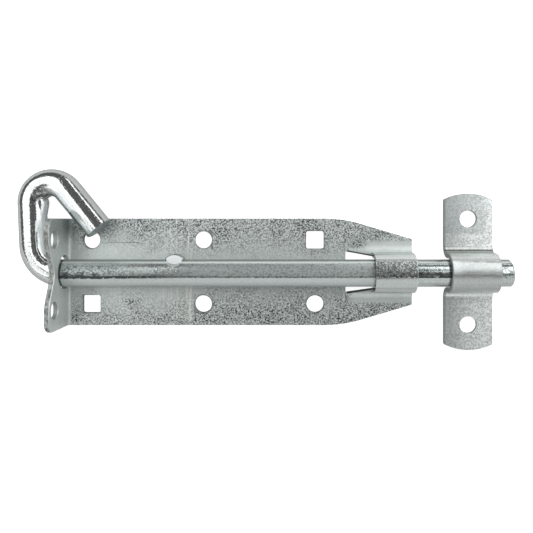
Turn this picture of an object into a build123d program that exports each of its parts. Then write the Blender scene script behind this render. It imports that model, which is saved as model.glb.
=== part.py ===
from build123d import *
import math
import os

# A padbolt in three pieces: a folded backplate with a pressed guide at one end and an eared
# flange at the other, a round bar bent into a hooked handle, and a strap keep for the jamb.
# Millimetres. The origin is on the backplate's back face, at the centre of its fixing holes.
# +X runs along the bar towards the keep, and +Z stands out of the plate.

# Stock
sheet = 3.0
sheet_edge = 0.35
bar_diameter = 16.0
bar_radius = bar_diameter / 2

# Running clearances
bar_lift = 0.3
guide_clearance = 0.6
flange_clearance = 1.9
flange_hole_drop = 1.0
flange_hole_shift = 0.5

# Backplate
plate_length = 208.7
plate_width = 64.0
hole_pitch = 67.0
hole_row_spacing = 38.4
round_hole = 10.2
square_hole = 10.5
square_corner = 1.2
flange_setback = 13.5
slot_length = 15.9
slot_width = 24.4
lip_inset = 0.8
lip_lean = 1.4
lip_drop = 0.5
guide_length = 24.0
guide_foot_radius = 4.5
guide_foot_flat = 1.5
nose_width = 39.5
taper_length = 41.5
taper_blend = 75.0
nose_corner = 1.0

# Flange and its ears, with heights measured from the plate's front face
fold_radius = 2.0
ear_height = 30.0
ear_corner = 6.0
ear_crest = 17.0
crest_blend = 20.0
valley_height = 21.2
valley_blend = 6.0
padlock_hole = 10.0
padlock_hole_spacing = 40.0
padlock_hole_height = 21.8

# Keep
keep_gap = 19.2
keep_width = 29.2
keep_length = 94.0
keep_hole_spacing = 63.6
keep_end_rise = 3.5
keep_corner = 0.8
keep_foot_radius = 5.0
keep_crown_lean = 0.5

# Bar and handle, along the bar's centre line
bar_projection = 8.9
bend_inset = 0.1
handle_bend = 17.4
handle_lean = 2.4
hook_overreach = 9.4
hook_bend = 11.6
hook_turn = 143.2
hook_tip = 29.5
nose_shear = 3.5
nose_chamfer = 0.9
tip_chamfer = 0.4

# Swelling of the handle's leg inside the tight hook
swell_radius = 6.0
swell_reach = 1.6
swell_length = 14.0
swell_run_out = 0.6

# Pinched stop that ends the withdrawal
bolt_travel = 59.7
stop_length = 11.0
stop_width = 5.7
stop_reach = 3.2
stop_thickness = 5.6
stop_draft = 18.0
stop_edge = 0.5

# Two points closer than this are the same point, and faces that turn more than this meet at a corner
touch = 0.01
sharp_turn = 50.0

# Places that several pieces share
axis_height = sheet + bar_lift + bar_radius
guide_radius = bar_radius + guide_clearance
guide_outside = guide_radius + sheet
guide_foot_end = guide_outside + guide_foot_radius + guide_foot_flat
fold_face_x = -hole_pitch - flange_setback
plate_end_x = fold_face_x - sheet + plate_length
guide_x = plate_end_x - guide_length
slot_x = guide_x - slot_length
keep_x = plate_end_x + keep_gap + keep_width / 2
bar_end_x = keep_x + keep_width / 2 + bar_projection


def near(vertices, points):
    """The vertices that lie at one of the points."""
    return [v for v in vertices if any((Vector(*v) - Vector(*p)).length < touch for p in points)]


def sharp_edges(solid):
    """The edges where two faces of the solid meet at a corner."""
    owners = {}
    for face in solid.faces():
        for edge in face.edges():
            owners.setdefault(edge, []).append(face)
    pairs = [(edge, *faces) for edge, faces in owners.items() if len(faces) == 2]
    normals = [(edge, one.normal_at(edge @ 0.5), other.normal_at(edge @ 0.5)) for edge, one, other in pairs]
    return [edge for edge, one, other in normals if one.get_angle(other) > sharp_turn]


def sharp_loops(solid):
    """The sharp edges in groups that hang together."""
    loops = []
    for edge in sharp_edges(solid):
        ends = set(edge.vertices())
        met = [loop for loop in loops if loop[0] & ends]
        joined = (ends.union(*[corners for corners, _ in met]), sum([edges for _, edges in met], [edge]))
        loops = [loop for loop in loops if loop not in met] + [joined]
    return [edges for _, edges in loops]


def eased(solid, left_x=math.inf):
    """The solid with its sharp edges broken, apart from the loop that crosses the bar at left_x."""
    def left_sharp(edges):
        return any(abs((edge @ 0.5).X - left_x) < touch for edge in edges)

    while open_loops := [edges for edges in sharp_loops(solid) if not left_sharp(edges)]:
        solid = chamfer(open_loops[0], sheet_edge)
    return solid


def rims(solid, centre):
    """The circular edges around a point."""
    circles = solid.edges().filter_by(GeomType.CIRCLE)
    return [c for c in circles if (c.arc_center - centre).length < touch]


def strap_section(half_width, foot_radius):
    """Section of a sheet raised over the bar: x is across the bar, y is the height above the back face."""
    arch = Rectangle(2 * guide_outside, axis_height, align=(Align.CENTER, Align.MIN))
    arch += Pos(0, axis_height) * Circle(guide_outside)
    arch += Rectangle(2 * half_width, sheet, align=(Align.CENTER, Align.MIN))
    hollow = Rectangle(2 * guide_radius, 2 * axis_height)
    hollow += Pos(0, axis_height) * Circle(guide_radius)
    section = arch - hollow
    roots = near(section.vertices(), [(side * guide_outside, sheet, 0) for side in (-1, 1)])
    section = fillet(roots, foot_radius)
    mouths = near(section.vertices(), [(side * guide_radius, 0, 0) for side in (-1, 1)])
    return fillet(mouths, foot_radius + sheet)


def raised_strap(start_x, length, half_width, foot_radius, lean):
    """The strap section carried along the bar, with its crown drawn in at the ends."""
    across = Plane(origin=(start_x, 0, 0), x_dir=(0, 1, 0), z_dir=(1, 0, 0))
    strap = extrude(across * strap_section(half_width, foot_radius), length)
    top, end_x = axis_height + guide_outside, start_x + length
    ends = [(start_x, 0), (end_x, 0), (end_x, sheet), (end_x - lean, top)]
    ends += [(start_x + lean, top), (start_x, sheet)]
    side_view = Plane(origin=(0, half_width, 0), x_dir=(1, 0, 0), z_dir=(0, -1, 0))
    return strap & extrude(side_view * make_face(Polyline(*ends, close=True)), 2 * half_width)


def fold_profile():
    """Side view of the folded sheet: the flat plate and the upstanding flange, as x and height."""
    top = sheet + ear_height
    outer_x = fold_face_x - sheet
    corner = [(outer_x, top), (outer_x, 0), (plate_end_x, 0), (plate_end_x, sheet)]
    corner += [(fold_face_x, sheet), (fold_face_x, top)]
    profile = make_face(Polyline(*corner, close=True))
    profile = fillet(near(profile.vertices(), [(fold_face_x, sheet, 0)]), fold_radius)
    return fillet(near(profile.vertices(), [(outer_x, 0, 0)]), fold_radius + sheet)


def plan_outline():
    """Plan of the plate: parallel sides that draw in towards the guide."""
    side, nose = plate_width / 2, nose_width / 2
    back_x = fold_face_x - sheet
    shoulder_x = plate_end_x - taper_length
    upper = [(back_x, side), (shoulder_x, side), (plate_end_x, nose)]
    lower = [(x, -y) for x, y in reversed(upper)]
    plan = make_face(Polyline(*upper, *lower, close=True))
    shoulders = near(plan.vertices(), [(shoulder_x, s * side, 0) for s in (-1, 1)])
    plan = fillet(shoulders, taper_blend)
    corners = near(plan.vertices(), [(plate_end_x, s * nose, 0) for s in (-1, 1)])
    return fillet(corners, nose_corner)


def flange_outline():
    """Front view of the flange: two rounded ears with a valley over the bar, as across and height."""
    side, top, valley = plate_width / 2, sheet + ear_height, sheet + valley_height
    points = [(-side, 0), (-side, top), (-ear_crest, top), (0, valley)]
    points += [(ear_crest, top), (side, top), (side, 0)]
    outline = make_face(Polyline(*points, close=True))
    outline = fillet(near(outline.vertices(), [(s * side, top, 0) for s in (-1, 1)]), ear_corner)
    outline = fillet(near(outline.vertices(), [(s * ear_crest, top, 0) for s in (-1, 1)]), crest_blend)
    return fillet(near(outline.vertices(), [(0, valley, 0)]), valley_blend)


def drawn_edge(side):
    """Sheet beside the window, drawn up from the flat until it meets the foot of the guide."""
    far, flat, rise = guide_foot_end, guide_outside + guide_foot_radius, sheet + guide_foot_radius
    lip_low = guide_radius + lip_inset
    lip_high, lip_top = lip_low + lip_lean, rise - lip_drop
    crest = flat - math.sqrt(guide_foot_radius**2 - lip_drop**2)
    under = rise - math.sqrt(rise**2 - (flat - lip_low)**2)
    near_edge = slot_width / 2
    shelf = near_edge + crest - lip_high
    level = [(far, 0), (far, sheet), (flat, sheet), (shelf, sheet), (near_edge, sheet), (near_edge, 0), (flat, 0)]
    start = Plane(origin=(slot_x, 0, 0), x_dir=(0, side, 0), z_dir=(side, 0, 0))
    first = start * make_face(Polyline(*level, close=True))
    foot = Polyline((flat, 0), (far, 0), (far, sheet), (flat, sheet))
    foot += TangentArc((flat, sheet), (crest, lip_top), tangent=(-1, 0))
    foot += Polyline((crest, lip_top), (lip_high, lip_top), (lip_low, under))
    foot += TangentArc((flat, 0), (lip_low, under), tangent=(-1, 0))
    last = start.offset(side * slot_length) * make_face(foot)
    return loft([first, last], ruled=True)


def fixing_holes():
    """Round and square fixing holes, laid out as the plate is punched."""
    row = hole_row_spacing / 2
    round_places = [(-hole_pitch, row), (0, row), (0, -row), (hole_pitch, -row)]
    square_places = [(-hole_pitch, -row), (hole_pitch, row)]
    punches = Sketch() + [Pos(x, y) * Circle(round_hole / 2) for x, y in round_places]
    punches += [Pos(x, y) * RectangleRounded(square_hole, square_hole, square_corner) for x, y in square_places]
    return punches


def padlock_eyes():
    """The two padlock holes in the ears, as across and height."""
    places = [(side * padlock_hole_spacing / 2, sheet + padlock_hole_height) for side in (-1, 1)]
    return Sketch() + [Pos(*place) * Circle(padlock_hole / 2) for place in places]


def bar_hole():
    """The bar's hole in the flange, as across and height."""
    return Pos(flange_hole_shift, axis_height - flange_hole_drop) * Circle(bar_radius + flange_clearance)


def fold_relief():
    """Plan of the lower lip of the bar's hole, which was punched flat and so runs into the fold."""
    half = bar_radius + flange_clearance
    drop = axis_height - flange_hole_drop - sheet
    mouth = math.sqrt(half**2 - drop**2)
    lip = Pos(fold_face_x + fold_radius, flange_hole_shift) * Ellipse(half - drop, mouth)
    back = Pos(fold_face_x - sheet, flange_hole_shift)
    return lip + back * Rectangle(2 * (sheet + fold_radius), 2 * mouth)


def make_backplate():
    """One piece of sheet: folded up at the flange, windowed and raised at the guide."""
    side_view = Plane(origin=(0, plate_width / 2, 0), x_dir=(1, 0, 0), z_dir=(0, -1, 0))
    folded = extrude(side_view * fold_profile(), plate_width)
    folded &= extrude(plan_outline(), sheet + ear_height)
    front_view = Plane(origin=(fold_face_x - sheet, 0, 0), x_dir=(0, 1, 0), z_dir=(1, 0, 0))
    folded &= extrude(front_view * flange_outline(), plate_end_x - fold_face_x + sheet)
    folded -= extrude(fixing_holes(), sheet)
    folded -= extrude(front_view * padlock_eyes(), sheet)
    length = slot_length + guide_length
    window = Pos(slot_x, 0) * Rectangle(length, 2 * guide_foot_end, align=(Align.MIN, Align.CENTER))
    folded -= extrude(window, sheet)
    folded += raised_strap(guide_x, guide_length, guide_foot_end, guide_foot_radius, 0)
    folded = eased(folded, left_x=slot_x)
    folded -= extrude(front_view * bar_hole(), sheet + fold_radius)
    folded -= extrude(fold_relief(), sheet + fold_radius)
    return folded + [drawn_edge(side) for side in (-1, 1)]


def make_keep():
    """A strap with bowed ends and two holes, raised over the end of the bar."""
    half_length, half_width = keep_length / 2, keep_width / 2
    start_x = keep_x - half_width
    strap = raised_strap(start_x, keep_width, half_length, keep_foot_radius, keep_crown_lean)
    shoulder = half_length - keep_end_rise
    plan = ThreePointArc((-half_width, shoulder), (0, half_length), (half_width, shoulder))
    plan += Line((half_width, shoulder), (half_width, -shoulder))
    plan += ThreePointArc((half_width, -shoulder), (0, -half_length), (-half_width, -shoulder))
    plan += Line((-half_width, -shoulder), (-half_width, shoulder))
    plan = make_face(plan)
    plan = fillet(plan.vertices(), keep_corner)
    strap &= Pos(keep_x, 0) * extrude(plan, axis_height + guide_outside)
    for side in (-1, 1):
        hole = Pos(keep_x, side * keep_hole_spacing / 2) * Circle(round_hole / 2)
        strap -= extrude(hole, sheet)
    return eased(strap)


def handle_path():
    """Centre line from the bar's nose to the hook's tip, in the plane of the bar's axis."""
    bend_x = fold_face_x - bend_inset
    bar = Line((bar_end_x, 0), (bend_x, 0))
    first_bend = JernArc(bar @ 1, bar % 1, handle_bend, handle_lean - 90)
    upright = first_bend % 1
    leg_top = plate_width / 2 + hook_overreach + hook_bend * upright.X
    leg_start = first_bend @ 1
    leg = Line(leg_start, leg_start + upright * ((leg_top - leg_start.Y) / upright.Y))
    hook = JernArc(leg @ 1, leg % 1, hook_bend, -hook_turn)
    tip = hook @ 1 + hook % 1 * hook_tip
    return Wire([bar, first_bend, leg, hook, Line(hook @ 1, tip)]), leg, tip


def leg_swell(leg):
    """The metal squeezed out on the inside of the tight hook, which thickens the top of the leg."""
    inward = Vector((leg % 1).Y, -(leg % 1).X)
    crest = leg @ 1 + inward * (bar_radius + swell_reach - swell_radius)
    root = leg @ 1 - leg % 1 * swell_length + inward * swell_run_out
    core = Plane(origin=root, z_dir=crest - root) * Cylinder(
        swell_radius, (crest - root).length, align=(Align.CENTER, Align.CENTER, Align.MIN))
    return core + Pos(*crest) * Sphere(swell_radius) + Pos(*root) * Sphere(swell_radius)


def stop_lens():
    """Plan of the pinched stop: two arcs that meet in points along the bar."""
    half_length, half_width = stop_length / 2, stop_width / 2
    arc = (half_length**2 + half_width**2) / (2 * half_width)
    centre_x = fold_face_x + bolt_travel + half_length
    centre_y = bar_radius + stop_reach - half_width
    upper = Pos(centre_x, centre_y + half_width - arc) * Circle(arc)
    lower = Pos(centre_x, centre_y - half_width + arc) * Circle(arc)
    return upper & lower


def make_bolt():
    """The bar with its bends, chamfered ends and pinched stop."""
    path, leg, tip = handle_path()
    start = Plane(origin=path @ 0, z_dir=path % 0)
    bolt = sweep(start * Circle(bar_radius), path=path)
    offcut = Box(bar_radius, 4 * bar_diameter, 2 * bar_diameter, align=(Align.MIN, Align.CENTER, Align.CENTER))
    bolt -= Pos(bar_end_x, -bar_diameter) * Rot(0, 0, nose_shear) * offcut
    bolt = chamfer(bolt.faces().sort_by(Axis.X)[-1].edges(), nose_chamfer)
    bolt = chamfer(rims(bolt, tip), tip_chamfer)
    bolt += leg_swell(leg)
    half = stop_thickness / 2
    lens = stop_lens()
    bolt -= Pos(0, 0, half) * extrude(lens, bar_radius, taper=-stop_draft)
    bolt -= Pos(0, 0, -half) * extrude(lens, bar_radius, dir=(0, 0, -1), taper=-stop_draft)
    wing = Pos(0, 0, -half) * extrude(lens, stop_thickness)
    wing = chamfer(wing.faces().filter_by(Axis.Z).edges(), stop_edge)
    return Pos(0, 0, axis_height) * (bolt + wing)


os.makedirs("parts", exist_ok=True)
export_step(make_backplate(), "parts/backplate.step")
export_step(make_bolt(), "parts/bolt.step")
export_step(make_keep(), "parts/keep.step")
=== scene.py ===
import bpy
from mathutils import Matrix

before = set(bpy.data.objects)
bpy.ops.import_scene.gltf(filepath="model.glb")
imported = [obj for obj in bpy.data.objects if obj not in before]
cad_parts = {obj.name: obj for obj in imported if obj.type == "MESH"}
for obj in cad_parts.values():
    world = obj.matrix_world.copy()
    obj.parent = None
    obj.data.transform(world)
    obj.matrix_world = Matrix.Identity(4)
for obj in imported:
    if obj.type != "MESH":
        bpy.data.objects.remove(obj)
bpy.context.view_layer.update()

# A padbolt of zinc plated steel, seen from straight above on a white ground.
# Metres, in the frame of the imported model: the bar runs along X and the plate lies on Z = 0.
# The materials read their places in millimetres, because the zinc's grain is that fine.

MM_PER_M = 1000.0

# Camera: the photo looks straight down on the plate, with the object off the lens's axis
CAMERA_PLACE = (0.0556, 0.0311, 0.369)
CAMERA_LENS_MM = 41.2
SENSOR_MM = 36.0
CAMERA_SHIFT = (-0.0553, -0.0872)
NEAREST_SEEN = 0.01

# Ground
FLOOR_SIZE = 6.0
FLOOR_DEPTH = 0.0004
FLOOR_COLOUR = (0.50, 0.50, 0.50)
FLOOR_GLOW = 0.90        # what the camera sees of its glow
FLOOR_IN_METAL = 0.25    # what the metal sees of its glow

# Studio: soft boxes above the sides, a grey wall in front and a dim ceiling round the camera
STUDIO_COLOUR = (0.97, 0.99, 1.0)
WHITE = (1.0, 1.0, 1.0)
LAMP_WATTS = 4.0         # per square metre for a lamp that looks as bright as a strength of 1
BOX_HEIGHT = 0.25
BOX_LIGHT = 1.7
SOFT_BOXES = {
    "left box": {"centre": (-0.287, 0.1675), "size": (0.366, 0.325)},
    "left front box": {"centre": (-0.330, -0.110), "size": (0.280, 0.230), "light": 1.1},
    "right box": {"centre": (0.803, 0.620), "size": (1.20, 1.20)},
    "right front box": {"centre": (1.000, -0.120), "size": (1.00, 0.28)},
}
FILL = {"centre": (0.085, 0.125), "size": (0.30, 0.18)}
FILL_LIGHT = 1.35        # lights the dull zinc only: no reflection shows this lamp

# The wall in front, in degrees: its edge from straight up, and to the right where it changes
WALL_EDGE = 34.0
WALL_SOFT = 3.0
WALL_LEAN = 20.0         # how much nearer it comes on the right
WALL_LEAN_AT = (4.0, 17.0)
WALL_END_AT = (24.0, 34.0)
WALL_END_LIGHT = 0.2     # the share of its light that is left past its end
WALL_LIGHT = 0.79
WALL_LEFT_AT = (-50.0, -25.0)
WALL_LEFT_GAIN = 0.12
LIP_DEPTH = 12.0         # the dark strip before the wall
LIP_LIGHT = 0.03
CEILING_LIGHT = 0.14

# Places on the plate, in millimetres; a pair is a band from low to high
SHEET = 3.0
HOLE_PITCH = 67.0
HOLE_ROW = 19.2
HOLE_HALF = 5.15
FLANGE_X = -80.5
FLANGE_FOOT_Z = 6.0
EYE_Y = 20.0
EYE_HALF = 5.6
EYE_TOP = 27.5
WINDOW_X = 85.3
GUIDE_X = 101.2
PLATE_END_X = 125.2
LIP_SLOPE = -0.18        # of the lips beside the window, and their Y at X = 0
LIP_Y = 27.55
GUIDE_CROWN_Y = (-1.3, 7.4)
GUIDE_LINE_Y = (-1.7, -0.7)
PRESSED_X = (-10.0, -7.0)
FAINTLY_PRESSED_X = (-24.0, -14.0)
CREASE_X = (-58.0, -37.0)
CREASE_Y = (18.6, 18.8)
TORN_Y = (14.0, 23.0)    # to either side of the bar

# Places on the bar, in millimetres
BAR_RADIUS = 8.0
BAR_TOP_Z = 11.0
BEND_X = -88.0
HANDLE_Y = BAR_RADIUS + 4.0
ARM_Y = 22.0
ARM_ACROSS = (0.775, 0.632)
ARM_MIDDLE = 28.4        # brings the middle of the handle's arm to nought
ARM_INSIDE = (-6.2, -4.2)
ARM_DARK_REFLECTION = (4.0, 4.6)
ARM_END = -57.9          # along the arm
HOOK_INSIDE_X = (-98.0, -88.5)
HOOK_INSIDE_Y = (12.0, 44.0)
STOP_X = (-21.5, -9.0)
STOP_Y = 5.2
DARK_SIDE_Y = (-1.9, 5.9)
DARKER_LEFT_TOP_Y = (-1.9, 4.6)
UPPER_HIGHLIGHT_Y = (6.3, 6.7)
DARK_REFLECTION_LINE_Y = (-2.0, -1.4)
STREAK_Y = (-1.7, -0.4)
BY_FLANGE_X = (-77.0, -60.0)
BY_FLANGE_Y = (-2.2, 0.9)
# Painted dark reflection lines, and dark blots, along the bar before and past the keep
FRONT_X = (126.0, 152.0)    # from the guide to under the keep
FRONT_LINE_Y = (4.4, 5.0)
FRONT_FAINT_LINE_Y = (2.1, 2.6)
FRONT_BLOTS_Y = (-1.4, 0.8)
UNDER_KEEP = 171.0       # where the marks before the keep give way to those past it
PAST_KEEP_Y = (-2.0, 6.0)

# Places on the keep, in millimetres
KEEP_X = 159.0
KEEP_SIDE_Z = 8.0
KEEP_CROWN_Z = 12.0
KEEP_RIM = (13.9, 20.0)  # away from its middle
ABOVE_FOLD_Y = (16.5, 21.0)
BELOW_FOLD_Y = (-18.0, -14.0)
BELOW_CROWN_Y = (-9.6, -6.0)
UPPER_DARK_BAND_Y = (7.0, 7.4)
LOWER_DARK_BAND_Y = (-1.6, 0.2)
CROWN_SHADE_Y = (1.3, 6.5)
FOLD_Y = (12.6, 15.6)
FOLD_LINE_Y = (12.9, 13.3)

# How squarely a face looks along an axis, from 0 to 1
UPRIGHT = 0.3            # a wall looks up less than this
WAVED = 0.85             # the flange's waved outer face looks along X more than this
SHEARED = 0.9            # and a sheared end of the sheet more than this
FLAT = 0.95              # the flat of the stop looks up more than this
BAR_END = 0.97           # the end of the bar looks along X more than this

# Tints of what the metal mirrors at a glance, and the depth of its relief in metres
DULL_TINT = (0.85, 0.87, 0.87)
BAR_TINT = (0.72, 0.74, 0.74)
PLATE_RELIEF = 0.00026
BAR_RELIEF = 0.00016
KEEP_RELIEF = 0.00005

# Patches, in millimetres: a centre and a reach each, along X and Y
CLUMPS = (
    ((101.0, 25.0), (9.0, 7.0)), ((95.0, -23.0), (15.0, 9.0)), ((-74.0, -29.0), (8.0, 6.0)),
    ((13.0, 30.0), (14.0, 6.0)), ((-30.0, -29.0), (12.0, 5.0)), ((-43.0, -17.5), (10.0, 3.0)),
)
STRIP_SPOTS = ((92.0, 16.8), (9.0, 4.2))
# where painted highlights sit on the window's torn corners
TORN_CORNER_HIGHLIGHTS = (((85.6, 15.5), (1.2, 4.0)), ((84.6, -15.0), (1.2, 4.0)))
FLANGE_SHADE = ((-80.0, 31.0), (11.0, 17.0))
LEFT_SHADE = ((-45.0, 27.0), (45.0, 17.0))
TAPER_SHADE = ((105.0, 24.0), (16.0, 9.0))
STRIP_SHADE = ((92.0, 17.5), (10.0, 6.0))
PINCH = ((-91.5, 47.0), (8.5, 7.5))    # on the bar, where the hook's metal is squeezed out

# Tones; where there are two, the metal varies from one to the other
PLATE_TONES = {
    "zinc": ((0.655, 0.695, 0.667), (0.82, 0.86, 0.83)),
    "guide": (0.50, 0.53, 0.515),
    # painted shade for the guide's crown
    "crown": (0.20, 0.215, 0.205),
    "painted guide highlight": (0.90, 0.93, 0.91),
    "shade": (0.22, 0.27, 0.27),
    "between spots": (0.97, 0.99, 0.97),
    "pressed": (0.97, 0.97, 0.92),
    "spots": (0.05, 0.06, 0.055),
    "painted dark reflection line": (0.03, 0.035, 0.03),
    "corners": (0.95, 0.97, 0.95),
    "painted shade lines": (0.12, 0.14, 0.12),
    "sheared": ((0.13, 0.13, 0.115), (0.46, 0.48, 0.46)),
    "shaded_eye_walls": (0.30, 0.32, 0.31),
    "lit outer face": (0.88, 0.90, 0.89),
    "rims": (0.97, 0.98, 0.96),
    "lip": (0.03, 0.04, 0.04),
}
BAR_TONES = {
    "handle": ((0.57, 0.58, 0.57), (0.63, 0.64, 0.63)),
    "straight": ((0.55, 0.59, 0.572), (0.61, 0.65, 0.632)),
    "painted highlight inside hook": (0.93, 0.95, 0.95),
    "painted light inside arm": (0.80, 0.84, 0.84),
    "painted dark reflection on arm": (0.06, 0.06, 0.05),
    "painted upper highlight": (0.88, 0.92, 0.91),
    "painted upper rim shade": (0.22, 0.25, 0.245),
    "pinch": (0.16, 0.165, 0.15),
    "darker_left_top": (0.12, 0.14, 0.135),
    "marks_and_shade": (0.06, 0.07, 0.067),
    "stop": (0.86, 0.88, 0.87),
    "sheared": ((0.42, 0.46, 0.47), (0.60, 0.64, 0.65)),
}
KEEP_TONES = {
    "zinc": ((0.56, 0.585, 0.575), (0.64, 0.665, 0.65)),
    "painted light on upper side": (0.88, 0.90, 0.87),
    "painted light beside folds": (0.96, 0.98, 0.96),
    "painted light on lower side": (0.93, 0.96, 0.94),
    "painted shade left of feet": (0.25, 0.27, 0.265),
    "painted light right of feet": (0.96, 0.97, 0.96),
    "painted shade on left rim": (0.22, 0.23, 0.21),
    "specks": (0.20, 0.22, 0.21),
    "painted shade below crown": (0.20, 0.22, 0.215),
    "dark_crown_bands": (0.16, 0.15, 0.12),
    "crown": (0.05, 0.055, 0.05),
    "fold": (0.15, 0.15, 0.13),
    "fold shade line": (0.07, 0.075, 0.065),
    "sheared": ((0.16, 0.16, 0.15), (0.45, 0.46, 0.45)),
}


class Nodes:
    """Adds shader nodes and links them, so that a material reads as formulas; called n below."""

    def __init__(self, tree):
        self.tree = tree

    def add(self, kind, **settings):
        node = self.tree.nodes.new(kind)
        for name, value in settings.items():
            setattr(node, name, value)
        return node

    def link(self, source, target):
        self.tree.links.new(source, target)

    def feed(self, socket, value):
        """Sets a socket to a number or a colour, or links another socket to it."""
        if isinstance(value, bpy.types.NodeSocket):
            self.link(value, socket)
        elif isinstance(value, tuple) and len(value) == 3 and socket.type == "RGBA":
            socket.default_value = (*value, 1)
        else:
            socket.default_value = value

    def math(self, operation, first, second=0.0):
        node = self.add("ShaderNodeMath", operation=operation)
        self.feed(node.inputs[0], first)
        self.feed(node.inputs[1], second)
        return node.outputs[0]

    def plus(self, *terms):
        total = terms[0]
        for term in terms[1:]:
            total = self.math("ADD", total, term)
        return total

    def minus(self, first, second):
        return self.math("SUBTRACT", first, second)

    def times(self, *factors):
        product = factors[0]
        for factor in factors[1:]:
            product = self.math("MULTIPLY", product, factor)
        return product

    def largest(self, *values):
        result = values[0]
        for value in values[1:]:
            result = self.math("MAXIMUM", result, value)
        return result

    def at_most(self, value, limit):
        return self.math("MINIMUM", value, limit)

    def flip(self, value):
        return self.minus(1.0, value)

    def size(self, value):
        return self.math("ABSOLUTE", value)

    def length(self, across, along):
        return self.math("SQRT", self.plus(self.times(across, across), self.times(along, along)))

    def above(self, value, limit):
        return self.math("GREATER_THAN", value, limit)

    def below(self, value, limit):
        return self.math("LESS_THAN", value, limit)

    def ramp(self, value, low, high, at_low=0.0, at_high=1.0):
        """A smooth step from at_low to at_high as value goes from low to high."""
        node = self.add("ShaderNodeMapRange", interpolation_type="SMOOTHSTEP")
        for socket, number in zip(node.inputs[:5], (value, low, high, at_low, at_high)):
            self.feed(socket, number)
        return node.outputs[0]

    def fall(self, value, low, high):
        """A smooth step down, from 1 at low to 0 at high."""
        return self.ramp(value, low, high, 1.0, 0.0)

    def inside(self, value, low, high, soft):
        """One between low and high, with soft ends outside them."""
        return self.times(self.ramp(value, low - soft, low), self.fall(value, high, high + soft))

    def noise(self, place, scale, detail=2.0, roughness=0.5, distortion=0.0):
        node = self.add("ShaderNodeTexNoise")
        for name, value in (("Vector", place), ("Scale", scale), ("Detail", detail),
                            ("Roughness", roughness), ("Distortion", distortion)):
            self.feed(node.inputs[name], value)
        return node.outputs["Fac"]

    def stretch(self, place, factors):
        node = self.add("ShaderNodeMapping")
        self.link(place, node.inputs["Vector"])
        node.inputs["Scale"].default_value = factors
        return node.outputs["Vector"]

    def parts(self, vector):
        """The three numbers of a vector."""
        node = self.add("ShaderNodeSeparateXYZ")
        self.link(vector, node.inputs[0])
        return tuple(node.outputs)

    def mix(self, amount, first, second):
        """A blend of two colours."""
        node = self.add("ShaderNodeMix", data_type="RGBA")
        colours = [socket for socket in node.inputs if socket.type == "RGBA"]
        self.feed(node.inputs[0], amount)
        self.feed(colours[0], first)
        self.feed(colours[1], second)
        return next(socket for socket in node.outputs if socket.type == "RGBA")

    def paint(self, colour, *coats):
        """Lays coats over a colour: each is an amount and a tone."""
        for amount, tone in coats:
            colour = self.mix(amount, colour, tone)
        return colour

    def blend(self, amount, first, second):
        """A blend of two numbers."""
        node = self.add("ShaderNodeMix", data_type="FLOAT")
        self.feed(node.inputs[0], amount)
        self.feed(node.inputs[2], first)
        self.feed(node.inputs[3], second)
        return node.outputs[0]

    def background(self, colour, strength):
        node = self.add("ShaderNodeBackground")
        self.feed(node.inputs["Color"], colour)
        self.feed(node.inputs["Strength"], strength)
        return node.outputs[0]


class Zinc(Nodes):
    """The nodes of a plated piece, with the place on it in millimetres and the way its surface faces."""

    def __init__(self, name, edge_tint):
        self.material = bpy.data.materials.new(name)
        self.material.use_nodes = True
        super().__init__(self.material.node_tree)
        self.shader = self.tree.nodes["Principled BSDF"].inputs
        self.shader["Specular Tint"].default_value = (*edge_tint, 1)
        coordinates = self.add("ShaderNodeTexCoord").outputs
        self.place = self.stretch(coordinates["Object"], (MM_PER_M,) * 3)
        self.x, self.y, self.z = self.parts(self.place)
        self.facing_x, _, self.facing_z = (self.size(part) for part in self.parts(coordinates["Normal"]))

    def grain(self, scale, detail=2.0, roughness=0.5, distortion=0.0):
        """A noise in the metal; its scale is about how many spots it has to a millimetre."""
        return self.noise(self.place, scale, detail, roughness, distortion)

    def drawn(self, factors, scale, detail=2.0, roughness=0.5, distortion=0.0):
        """A noise that is drawn out along the axes whose factors are small."""
        return self.noise(self.stretch(self.place, factors), scale, detail, roughness, distortion)

    def patch(self, centre, reach):
        """One at a centre, and fading to nought at an ellipse round it."""
        across = self.math("DIVIDE", self.minus(self.x, centre[0]), reach[0])
        along = self.math("DIVIDE", self.minus(self.y, centre[1]), reach[1])
        return self.fall(self.length(across, along), 0.2, 1.0)

    def patches(self, spots):
        return self.largest(*(self.patch(*spot) for spot in spots))

    def cut_walls(self):
        """One on the upright walls of the sheet's outline and openings."""
        return self.times(self.below(self.facing_z, UPRIGHT), self.below(self.z, SHEET - 0.1))

    def emboss(self, height, depth):
        """Raises the surface by height, a field of 0 to 1, times depth in metres."""
        bump = self.add("ShaderNodeBump")
        self.feed(bump.inputs["Strength"], 1.0)
        self.feed(bump.inputs["Distance"], depth)
        self.link(height, bump.inputs["Height"])
        self.link(bump.outputs[0], self.shader["Normal"])

    def dress(self, node, colour, metallic, roughness):
        """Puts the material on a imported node."""
        self.feed(self.shader["Base Color"], colour)
        self.feed(self.shader["Metallic"], metallic)
        self.feed(self.shader["Roughness"], roughness)
        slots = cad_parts[node].data.materials
        slots.clear()
        slots.append(self.material)


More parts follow.
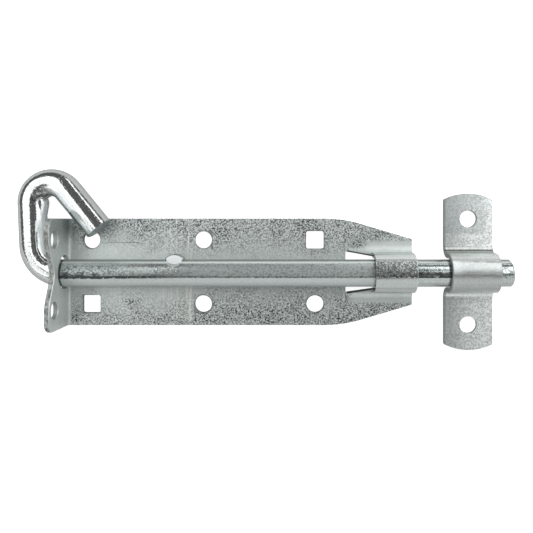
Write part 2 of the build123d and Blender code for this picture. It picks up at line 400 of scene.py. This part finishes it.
def make_world():
    """A grey wall of light in front, with a dark strip before it, and a dim ceiling."""
    world = bpy.data.worlds.new("studio")
    bpy.context.scene.world = world
    world.use_nodes = True
    world.node_tree.nodes.clear()
    n = Nodes(world.node_tree)
    x, y, z = n.parts(n.add("ShaderNodeTexCoord").outputs["Generated"])
    side = n.math("DEGREES", n.math("ARCSINE", x))
    tilt = n.math("DEGREES", n.math("ARCTAN2", n.times(y, -1.0), z))
    tilt = n.plus(tilt, n.ramp(side, *WALL_LEAN_AT, 0.0, WALL_LEAN))
    lip_edge = WALL_EDGE - LIP_DEPTH
    ceiling = n.ramp(tilt, lip_edge, lip_edge + LIP_DEPTH / 2, CEILING_LIGHT, LIP_LIGHT)
    on_wall = n.times(n.ramp(tilt, WALL_EDGE - WALL_SOFT, WALL_EDGE + WALL_SOFT),
                      n.ramp(side, *WALL_END_AT, 1.0, WALL_END_LIGHT))
    wall = n.plus(n.ramp(side, *WALL_LEFT_AT, WALL_LEFT_GAIN, 0.0), WALL_LIGHT)
    mix = n.add("ShaderNodeMixShader")
    n.link(n.add("ShaderNodeLightPath").outputs["Is Camera Ray"], mix.inputs[0])
    n.link(n.background(STUDIO_COLOUR, n.blend(on_wall, ceiling, wall)), mix.inputs[1])
    n.link(n.background(WHITE, 1.0), mix.inputs[2])
    n.link(mix.outputs[0], n.add("ShaderNodeOutputWorld").inputs[0])


def make_soft_box(name, centre, size, light=BOX_LIGHT, mirrored=True):
    """A flat rectangular lamp that faces down."""
    lamp = bpy.data.lights.new(name, "AREA")
    lamp.shape = "RECTANGLE"
    lamp.size, lamp.size_y = size
    lamp.energy = light * LAMP_WATTS * size[0] * size[1]
    lamp.color = STUDIO_COLOUR
    box = bpy.data.objects.new(name, lamp)
    box.location = (*centre, BOX_HEIGHT)
    box.visible_camera = False
    box.visible_glossy = mirrored
    bpy.context.collection.objects.link(box)


def floor_material():
    """White paper: it glows to the camera, glows less in the metal, and takes soft shadow."""
    material = bpy.data.materials.new("floor")
    material.use_nodes = True
    material.node_tree.nodes.clear()
    n = Nodes(material.node_tree)
    paper = n.add("ShaderNodeBsdfDiffuse")
    n.feed(paper.inputs["Color"], FLOOR_COLOUR)
    ray = n.add("ShaderNodeLightPath").outputs
    in_metal = n.times(n.largest(ray["Is Glossy Ray"], ray["Is Transmission Ray"]), FLOOR_IN_METAL)
    glow = n.add("ShaderNodeEmission")
    n.link(n.largest(n.times(ray["Is Camera Ray"], FLOOR_GLOW), in_metal), glow.inputs["Strength"])
    both = n.add("ShaderNodeAddShader")
    n.link(paper.outputs[0], both.inputs[0])
    n.link(glow.outputs[0], both.inputs[1])
    n.link(both.outputs[0], n.add("ShaderNodeOutputMaterial").inputs[0])
    return material


def make_floor():
    """White ground that keeps the object's soft shadow."""
    half = FLOOR_SIZE / 2
    mesh = bpy.data.meshes.new("floor")
    corners = [(-half, -half), (half, -half), (half, half), (-half, half)]
    mesh.from_pydata([(x, y, -FLOOR_DEPTH) for x, y in corners], [], [(0, 1, 2, 3)])
    floor = bpy.data.objects.new("floor", mesh)
    bpy.context.collection.objects.link(floor)
    mesh.materials.append(floor_material())


def make_camera():
    """The photo's viewpoint, with the lens shifted so that the object sits as in the photo."""
    data = bpy.data.cameras.new("camera")
    data.sensor_width = SENSOR_MM
    data.lens = CAMERA_LENS_MM
    data.shift_x, data.shift_y = CAMERA_SHIFT
    data.clip_start = NEAREST_SEEN
    camera = bpy.data.objects.new("camera", data)
    camera.location = CAMERA_PLACE
    bpy.context.collection.objects.link(camera)
    bpy.context.scene.camera = camera


def plate_density(n, off_axis, guide, crown):
    """How mottled the plate is: little beside the bar, most at the long edges and the taper."""
    reach = n.plus(off_axis, n.times(n.x, 0.05), n.times(n.grain(0.05, 3.0, 0.55), 24.0))
    edges = n.times(n.ramp(reach, 14.0, 42.0), n.ramp(n.x, FLANGE_X - 0.5, FLANGE_X + 3.5))
    sheet = n.at_most(n.plus(edges, n.times(n.patches(CLUMPS), 0.5)), 1.0)
    beside_window = n.times(n.ramp(n.x, WINDOW_X + 1.0, WINDOW_X + 6.0), n.fall(off_axis, 17.0, 20.0))
    flange = n.times(n.below(n.x, FLANGE_X + 4.5), n.ramp(n.y, 10.0, 16.0), 0.25)
    return n.largest(n.times(sheet, n.flip(beside_window), n.flip(guide)), n.times(crown, 0.78),
                     n.patch(*STRIP_SPOTS), flange)


def plate_spots(n, pits):
    """The mottling itself: short dark worms, broken up by grain."""
    vein = n.size(n.minus(n.grain(0.68, 3.0, 0.6, 1.0), 0.5))
    worms = n.fall(vein, 0.01, 0.05)
    return n.largest(n.times(worms, 0.9), n.ramp(pits, 0.50, 0.57))


def plate_pressed(n, off_axis):
    """Pale lines across the plate, from the press."""
    lines = n.largest(n.inside(n.x, *PRESSED_X, 1.0), n.times(n.inside(n.x, *FAINTLY_PRESSED_X, 1.0), 0.5))
    broken = n.ramp(n.drawn((1.0, 0.03, 1.0), 1.1, 2.0, 0.6), 0.48, 0.58)
    return n.times(lines, n.ramp(off_axis, 24.0, 33.0, 1.0, 0.4), broken)


def plate_shade_lines(n, off_axis, pits):
    """Painted shade: dark lines along a crease, round the burrs of the fixing holes and at the torn edge of
    the window.
    """
    waver = n.times(n.grain(0.12), 3.0)
    crease = n.times(n.inside(n.plus(n.y, waver), *CREASE_Y, 0.2), n.inside(n.x, *CREASE_X, 3.0))
    step_x = n.math("PINGPONG", n.size(n.x), HOLE_PITCH / 2)
    step_y = n.size(n.minus(off_axis, HOLE_ROW))
    at_square_holes = n.above(n.times(n.x, n.y), HOLE_PITCH)    # both lie where X and Y have one sign
    gap = n.blend(at_square_holes, n.length(step_x, step_y), n.largest(step_x, step_y))
    burr = n.times(n.fall(gap, HOLE_HALF + 0.1, HOLE_HALF + 0.9), n.above(n.z, SHEET - 0.4),
                   n.ramp(n.grain(0.22), 0.30, 0.52), n.below(n.x, WINDOW_X))
    tear = n.plus(n.x, n.times(n.grain(0.5), 3.0))
    torn = n.times(n.inside(tear, WINDOW_X + 1.0, WINDOW_X + 1.4, 0.5),
                   n.inside(off_axis, *TORN_Y, 2.0), n.ramp(pits, 0.42, 0.52))
    return n.largest(n.times(crease, 0.7), n.times(burr, 0.7), n.times(torn, 0.8))


def plate_cuts(n, off_axis):
    """The sheared faces, the walls of the ears' eye holes in painted shade, and the flange's outward face in
    painted light.
    """
    end = n.times(n.above(n.facing_x, SHEARED), n.above(n.x, FLANGE_X + 10.5))
    outside = n.times(n.below(n.x, FLANGE_X - SHEET + 0.4), n.above(n.z, FLANGE_FOOT_Z))
    edge = n.largest(n.below(n.facing_x, UPRIGHT), n.times(outside, n.below(n.facing_x, WAVED)))
    on_flange = n.times(n.below(n.x, FLANGE_X), n.above(n.z, FLANGE_FOOT_Z), edge)
    shaded_eye_walls = n.times(n.below(n.size(n.minus(off_axis, EYE_Y)), EYE_HALF), n.below(n.z, EYE_TOP), on_flange)
    ears = n.times(on_flange, n.flip(shaded_eye_walls))
    lit_outer_face = n.times(outside, n.above(n.facing_x, WAVED))
    return n.largest(n.cut_walls(), end, ears), shaded_eye_walls, lit_outer_face


def plate_shade(n):
    """Soft dark areas: beside the flange, along the upper left, and at the upper taper."""
    return n.largest(n.times(n.patch(*FLANGE_SHADE), 0.8), n.times(n.patch(*LEFT_SHADE), 0.5),
                     n.times(n.patch(*TAPER_SHADE), 0.5), n.times(n.patch(*STRIP_SHADE), 0.7))


def make_plate():
    """Dull zinc: smooth beside the bar, and more and more mottled towards the long edges."""
    n = Zinc("plate_steel", DULL_TINT)
    off_axis = n.size(n.y)
    guide = n.times(n.ramp(n.x, GUIDE_X - 1.5, GUIDE_X - 0.5), n.above(n.z, SHEET + 3.0))
    crown = n.times(guide, n.inside(n.y, *GUIDE_CROWN_Y, 0.4))
    # where a painted dark reflection line runs along the guide's crown
    crown_dark_reflection = n.times(guide, n.inside(n.y, *GUIDE_LINE_Y, 0.4))
    pits = n.grain(0.98, 2.0, 0.6, 0.4)
    density = plate_density(n, off_axis, guide, crown)
    spots = plate_spots(n, pits)
    uneven = n.ramp(n.grain(0.14, 3.0, 0.65), 0.35, 0.65, 0.7, 1.0)
    mottle = n.times(n.plus(n.times(spots, 0.94), 0.04), n.plus(n.times(density, uneven), 0.10))
    pressed = plate_pressed(n, off_axis)
    sheared, shaded_eye_walls, lit_outer_face = plate_cuts(n, off_axis)
    tear = n.ramp(n.drawn((1.0, 1.0, 0.5), 0.40, 4.0, 0.75), 0.35, 0.65)
    past_lip = n.minus(off_axis, n.plus(n.times(n.x, LIP_SLOPE), LIP_Y))
    # painted shade on the cut edges of the lips beside the window
    lip = n.times(n.inside(n.x, WINDOW_X + 1.5, GUIDE_X - 0.3, 1.0), n.fall(past_lip, 0.7, 1.3))
    # where painted highlights run along the guide's ends
    rims = n.largest(n.inside(n.x, GUIDE_X, GUIDE_X + 0.35, 0.2),
                     n.ramp(n.x, PLATE_END_X - 0.6, PLATE_END_X - 0.3))

    tone = PLATE_TONES
    colour = n.paint(
        n.mix(n.grain(0.16, 4.0, 0.6), *tone["zinc"]),
        (n.times(guide, 0.6), tone["guide"]),
        # painted shade: the guide's crown is darkened where it mirrors the dim ceiling
        (n.times(crown, 0.40), tone["crown"]),
        # painted highlight along the guide's upper flank
        (n.times(guide, n.ramp(n.y, 7.0, 8.0), 0.6), tone["painted guide highlight"]),
        (n.times(plate_shade(n), 0.6), tone["shade"]),
        (n.times(density, 0.25), tone["between spots"]),
        (n.times(pressed, 0.7), tone["pressed"]),
        (n.times(mottle, n.flip(n.times(pressed, 0.5))), tone["spots"]),
        # painted dark reflection: a blotchy black line along the guide's crown
        (n.times(crown_dark_reflection, n.ramp(pits, 0.42, 0.54), 0.8), tone["painted dark reflection line"]),
        # painted highlights on the burrs at the window's torn corners
        (n.times(n.patches(TORN_CORNER_HIGHLIGHTS), n.ramp(pits, 0.45, 0.55)), tone["corners"]),
        # painted shade along the crease, round the holes and at the torn window edge
        (plate_shade_lines(n, off_axis, pits), tone["painted shade lines"]),
        (sheared, n.mix(tear, *tone["sheared"])),
        # painted shade on the walls of the eye holes in the ears
        (shaded_eye_walls, tone["shaded_eye_walls"]),
        # painted light: the flange's outward face is pale and mirror bright
        (lit_outer_face, tone["lit outer face"]),
        # painted highlights along the guide's ends
        (n.times(guide, rims, 0.8), tone["rims"]),
        # painted shade: black along the cut edges of the lips beside the window
        (lip, tone["lip"]),
    )
    metallic = n.largest(n.blend(guide, 0.5, 0.85), n.times(lit_outer_face, 0.95))
    dull = n.plus(n.blend(spots, 0.46, 0.36), n.times(n.largest(sheared, shaded_eye_walls), 0.15))
    shiny = n.blend(crown, 0.17, 0.26)
    n.emboss(n.times(pits, n.plus(n.times(density, 0.85), 0.06)), PLATE_RELIEF)
    n.dress("backplate", colour, metallic, n.blend(guide, dull, shiny))


def bar_marks_and_shade(n, straight, left_end, top_side, pits, blots):
    """Dark pits and streaks along the straight, with painted shade where it enters the flange, and painted
    dark reflection lines below the crown and before and past the keep.
    """
    upper = n.above(n.z, BAR_TOP_Z)
    on_top = n.times(straight, upper)
    # painted dark reflection: the black line below the crown
    line = n.times(on_top, n.inside(n.y, *DARK_REFLECTION_LINE_Y, 0.4), n.below(n.x, UNDER_KEEP))
    streak = n.times(left_end, n.inside(n.plus(n.y, n.times(blots, 1.6)), *STREAK_Y, 0.4), upper)
    by_flange = n.times(on_top, n.inside(n.x, *BY_FLANGE_X, 4.0), n.inside(n.y, *BY_FLANGE_Y, 0.6))
    # painted shade where the bar enters the flange's hole
    shade_in_flange = n.times(n.inside(n.x, FLANGE_X, FLANGE_X + 0.6, 0.4), n.fall(n.y, 7.9, 8.1))
    front = n.times(on_top, n.inside(n.x, *FRONT_X, 2.0))
    end = n.times(n.ramp(n.x, UNDER_KEEP, UNDER_KEEP + 2.0), n.inside(n.y, *PAST_KEEP_Y, 1.0))
    marks_and_shade = n.plus(
        n.times(n.ramp(pits, 0.48, 0.60), n.plus(n.times(top_side, 0.30), 0.10)),
        n.times(line, n.ramp(blots, 0.25, 0.5), n.plus(n.times(front, 0.4), 0.55)),
        n.times(streak, n.ramp(blots, 0.36, 0.5), 0.95),
        n.times(by_flange, n.ramp(blots, 0.46, 0.53), 0.9),
        n.times(shade_in_flange, 0.75),
        # painted dark reflection lines before and past the keep
        n.times(n.largest(front, end), n.inside(n.y, *FRONT_LINE_Y, 0.35), 0.92),
        n.times(front, n.inside(n.y, *FRONT_FAINT_LINE_Y, 0.3), 0.45),
        n.times(front, n.inside(n.y, *FRONT_BLOTS_Y, 0.8), n.ramp(blots, 0.40, 0.54, 0.3, 1.3), 0.50),
        n.times(end, n.ramp(blots, 0.50, 0.58), 0.5),
    )
    return n.at_most(marks_and_shade, 1.0)


def make_bar():
    """Bright zinc on drawn bar: mirror smooth on the handle, pitted and satin along the straight."""
    n = Zinc("bar_steel", BAR_TINT)
    pits = n.grain(0.85, 3.0, 0.65, 0.4)
    blots = n.drawn((0.7, 1.0, 1.0), 0.6, 4.0, 0.7, 0.6)
    cloud = n.grain(0.2, 3.0, 0.6)

    # the straight: its middle and left end are dulled, and the upper side of its crown is dark
    upper = n.above(n.z, BAR_TOP_Z)
    straight = n.times(n.ramp(n.x, BEND_X, BEND_X + 4.0), n.below(n.y, HANDLE_Y))
    middle = n.times(n.ramp(n.x, -45.0, 10.0), n.fall(n.x, 95.0, 125.0))
    left_end = n.times(straight, n.fall(n.x, -62.0, -8.0))
    top_side = n.times(straight, n.inside(n.y, *DARK_SIDE_Y, 0.5), upper)
    # darker and pitted on top towards the left end
    darker_left_top = n.times(left_end, n.inside(n.y, *DARKER_LEFT_TOP_Y, 0.5), n.ramp(pits, 0.42, 0.58, 0.35, 0.80), upper)
    stop = n.times(n.above(n.facing_z, FLAT), n.above(n.y, STOP_Y), n.inside(n.x, *STOP_X, 0.2))

    # the handle: its arm, with painted light and a painted dark reflection line along it, its sheared tip,
    # and the inside of the hook, painted as a highlight, with the metal squeezed out there
    across_arm = n.plus(n.times(n.x, ARM_ACROSS[0]), n.times(n.y, ARM_ACROSS[1]), ARM_MIDDLE)
    along_arm = n.minus(n.times(n.x, ARM_ACROSS[1]), n.times(n.y, ARM_ACROSS[0]))
    arm = n.times(n.above(n.y, ARM_Y), n.above(n.x, BEND_X))
    arm_inside_light = n.times(arm, n.ramp(across_arm, ARM_INSIDE[0] - 1.0, ARM_INSIDE[0]),
                         n.fall(across_arm, ARM_INSIDE[1], ARM_INSIDE[1] + 0.6))
    arm_dark_reflection = n.times(arm, n.inside(across_arm, *ARM_DARK_REFLECTION, 0.35), n.ramp(along_arm, -91.0, -85.0),
                       n.ramp(blots, 0.35, 0.5, 0.4, 1.0))
    tip = n.times(n.above(along_arm, ARM_END), n.above(n.y, HANDLE_Y))
    sheared = n.largest(tip, n.above(n.facing_x, BAR_END))
    hook_inside_highlight = n.times(n.inside(n.x, *HOOK_INSIDE_X, 1.0), n.inside(n.y, *HOOK_INSIDE_Y, 2.0),
                          n.ramp(n.facing_x, 0.55, 0.68))
    pinch = n.times(n.patch(*PINCH), upper)

    tone = BAR_TONES
    colour = n.paint(
        n.mix(cloud, *tone["handle"]),
        (straight, n.mix(cloud, *tone["straight"])),
        # painted highlight: the inside of the hook is made near white
        (hook_inside_highlight, tone["painted highlight inside hook"]),
        # painted light along the inside of the handle's arm
        (arm_inside_light, tone["painted light inside arm"]),
        # painted dark reflection: a dark line along the handle's arm
        (n.times(arm_dark_reflection, 0.8), tone["painted dark reflection on arm"]),
        # painted highlight along the top of the straight
        (n.times(straight, n.inside(n.y, *UPPER_HIGHLIGHT_Y, 0.4), upper, 0.7), tone["painted upper highlight"]),
        # painted shade along the bar's upper edge, beside the plate
        (n.times(straight, n.ramp(n.y, 7.1, 7.4), 0.6), tone["painted upper rim shade"]),
        (n.times(pinch, n.ramp(pits, 0.38, 0.56)), tone["pinch"]),
        (darker_left_top, tone["darker_left_top"]),
        # pits and dark streaks, with painted dark reflection lines and painted shade
        (bar_marks_and_shade(n, straight, left_end, top_side, pits, blots), tone["marks_and_shade"]),
        (stop, tone["stop"]),
        (sheared, n.mix(n.ramp(blots, 0.4, 0.6), *tone["sheared"])),
    )
    flecks = n.times(n.flip(straight), n.ramp(pits, 0.56, 0.66), 0.4)
    satin = n.largest(middle, left_end, flecks, hook_inside_highlight, n.times(arm_inside_light, 1.6))
    rough = n.blend(straight, 0.09, n.blend(middle, 0.19, 0.23))
    rough = n.blend(left_end, rough, 0.44)
    rough = n.blend(n.largest(hook_inside_highlight, n.times(pinch, 0.8)), rough, 0.30)
    rough = n.blend(n.largest(stop, sheared), rough, 0.5)
    dents = n.plus(n.times(n.grain(0.75, 1.0, 0.4, 0.3), 0.26),
                   n.times(n.ramp(n.grain(1.0, 1.0), 0.58, 0.70), 0.14))
    scuff = n.drawn((0.12, 1.0, 1.0), 1.6, 3.0, 0.6)
    along = n.plus(n.times(pits, n.plus(n.times(top_side, 0.5), 0.1)), n.times(scuff, 0.1))
    n.emboss(n.blend(straight, dents, along), BAR_RELIEF)
    n.dress("bolt", colour, n.blend(stop, n.blend(satin, 1.0, 0.6), 0.2), rough)


def make_keep():
    """Satin zinc with a fine even speckle."""
    n = Zinc("keep_steel", DULL_TINT)
    foot = n.below(n.z, SHEET + 0.4)
    side = n.above(n.z, KEEP_SIDE_Z)
    on_crown = n.above(n.z, KEEP_CROWN_Z)
    pits = n.grain(1.15, 3.0, 0.7, 0.2)
    specks = n.times(n.ramp(pits, 0.44, 0.58), n.blend(foot, 0.25, 0.56))
    sheared = n.largest(n.cut_walls(), n.above(n.facing_x, SHEARED))
    shaded_left_of_feet = n.times(foot, n.fall(n.x, KEEP_X - 13.0, KEEP_X + 5.0))
    lit_right_of_feet = n.times(n.ramp(n.x, KEEP_X + 7.0, KEEP_X + 14.0), foot)
    shaded_left_rim = n.times(n.inside(n.size(n.minus(n.x, KEEP_X)), *KEEP_RIM, 0.5), n.below(n.x, KEEP_X))
    lit_beside_folds = n.largest(n.inside(n.y, *ABOVE_FOLD_Y, 4.0), n.inside(n.y, *BELOW_FOLD_Y, 4.0))

    # the crown: painted shade, and darker along two streaked bands
    streaks = n.times(on_crown, n.drawn((0.35, 1.0, 1.0), 0.5, 3.0, 0.7))
    bands = n.largest(n.times(n.inside(n.y, *UPPER_DARK_BAND_Y, 0.5), 0.75),
                      n.times(n.inside(n.y, *LOWER_DARK_BAND_Y, 0.8), 0.32))
    dark_crown_bands = n.times(bands, n.ramp(n.x, KEEP_X - 12.0, KEEP_X - 6.0), n.ramp(streaks, 0.36, 0.60))
    # painted shade on the crown's upper half, deepest nearest its middle
    shade = n.times(n.ramp(n.y, 1.0, 4.6, 0.52, 0.20), n.inside(n.y, *CROWN_SHADE_Y, 1.0), on_crown,
                    n.ramp(n.x, KEEP_X - 13.0, KEEP_X - 5.0, 0.1, 1.0), n.ramp(streaks, 0.3, 0.6, 0.8, 1.15))

    # the upper fold: painted shade, broken by fine drawn lines
    lines = n.ramp(n.drawn((1.0, 0.1, 0.1), 1.3), 0.4, 0.6)
    # painted shade in the upper fold
    fold = n.times(n.inside(n.y, *FOLD_Y, 0.4), n.plus(n.times(lines, 0.35), 0.50),
                   n.ramp(n.z, SHEET, SHEET + 2.5, 0.5, 1.0))

    tone = KEEP_TONES
    colour = n.paint(
        n.mix(n.grain(0.18, 3.0, 0.6), *tone["zinc"]),
        # painted light on the arch's upper side
        (n.times(n.ramp(n.y, 8.0, 9.5), side, 0.75), tone["painted light on upper side"]),
        # painted light on the feet beside the folds
        (n.times(lit_beside_folds, 0.75), tone["painted light beside folds"]),
        # painted light on the keep's lower side
        (n.times(n.fall(n.y, -12.0, -9.0), 0.85), tone["painted light on lower side"]),
        # painted shade to the left of the feet, and painted light to their right
        (n.times(shaded_left_of_feet, 0.55), tone["painted shade left of feet"]),
        (n.times(lit_right_of_feet, 0.7), tone["painted light right of feet"]),
        # painted shade along the keep's left edge
        (n.times(shaded_left_rim, 0.6), tone["painted shade on left rim"]),
        (specks, tone["specks"]),
        # painted shade in a band below the crown
        (n.times(n.inside(n.y, *BELOW_CROWN_Y, 1.5), side, 0.16), tone["painted shade below crown"]),
        # darker along two streaked bands on the crown
        (dark_crown_bands, tone["dark_crown_bands"]),
        # painted shade on the crown
        (shade, tone["crown"]),
        # painted shade in the upper fold
        (fold, tone["fold"]),
        # painted shade: a dark line in the fold
        (n.times(n.inside(n.y, *FOLD_LINE_Y, 0.3), 0.55), tone["fold shade line"]),
        (sheared, n.mix(n.grain(1.4, 3.0, 0.7), *tone["sheared"])),
    )
    roughness = n.plus(n.times(sheared, 0.2), n.blend(foot, 0.30, 0.42))
    n.emboss(n.times(pits, n.blend(foot, 0.3, 1.0)), KEEP_RELIEF)
    n.dress("keep", colour, n.blend(foot, 0.85, 0.45), roughness)


bpy.context.scene.view_settings.view_transform = "Standard"
make_world()
for name, box in SOFT_BOXES.items():
    make_soft_box(name, **box)
make_soft_box("fill", **FILL, light=FILL_LIGHT, mirrored=False)
make_floor()
make_camera()
make_plate()
make_bar()
make_keep()
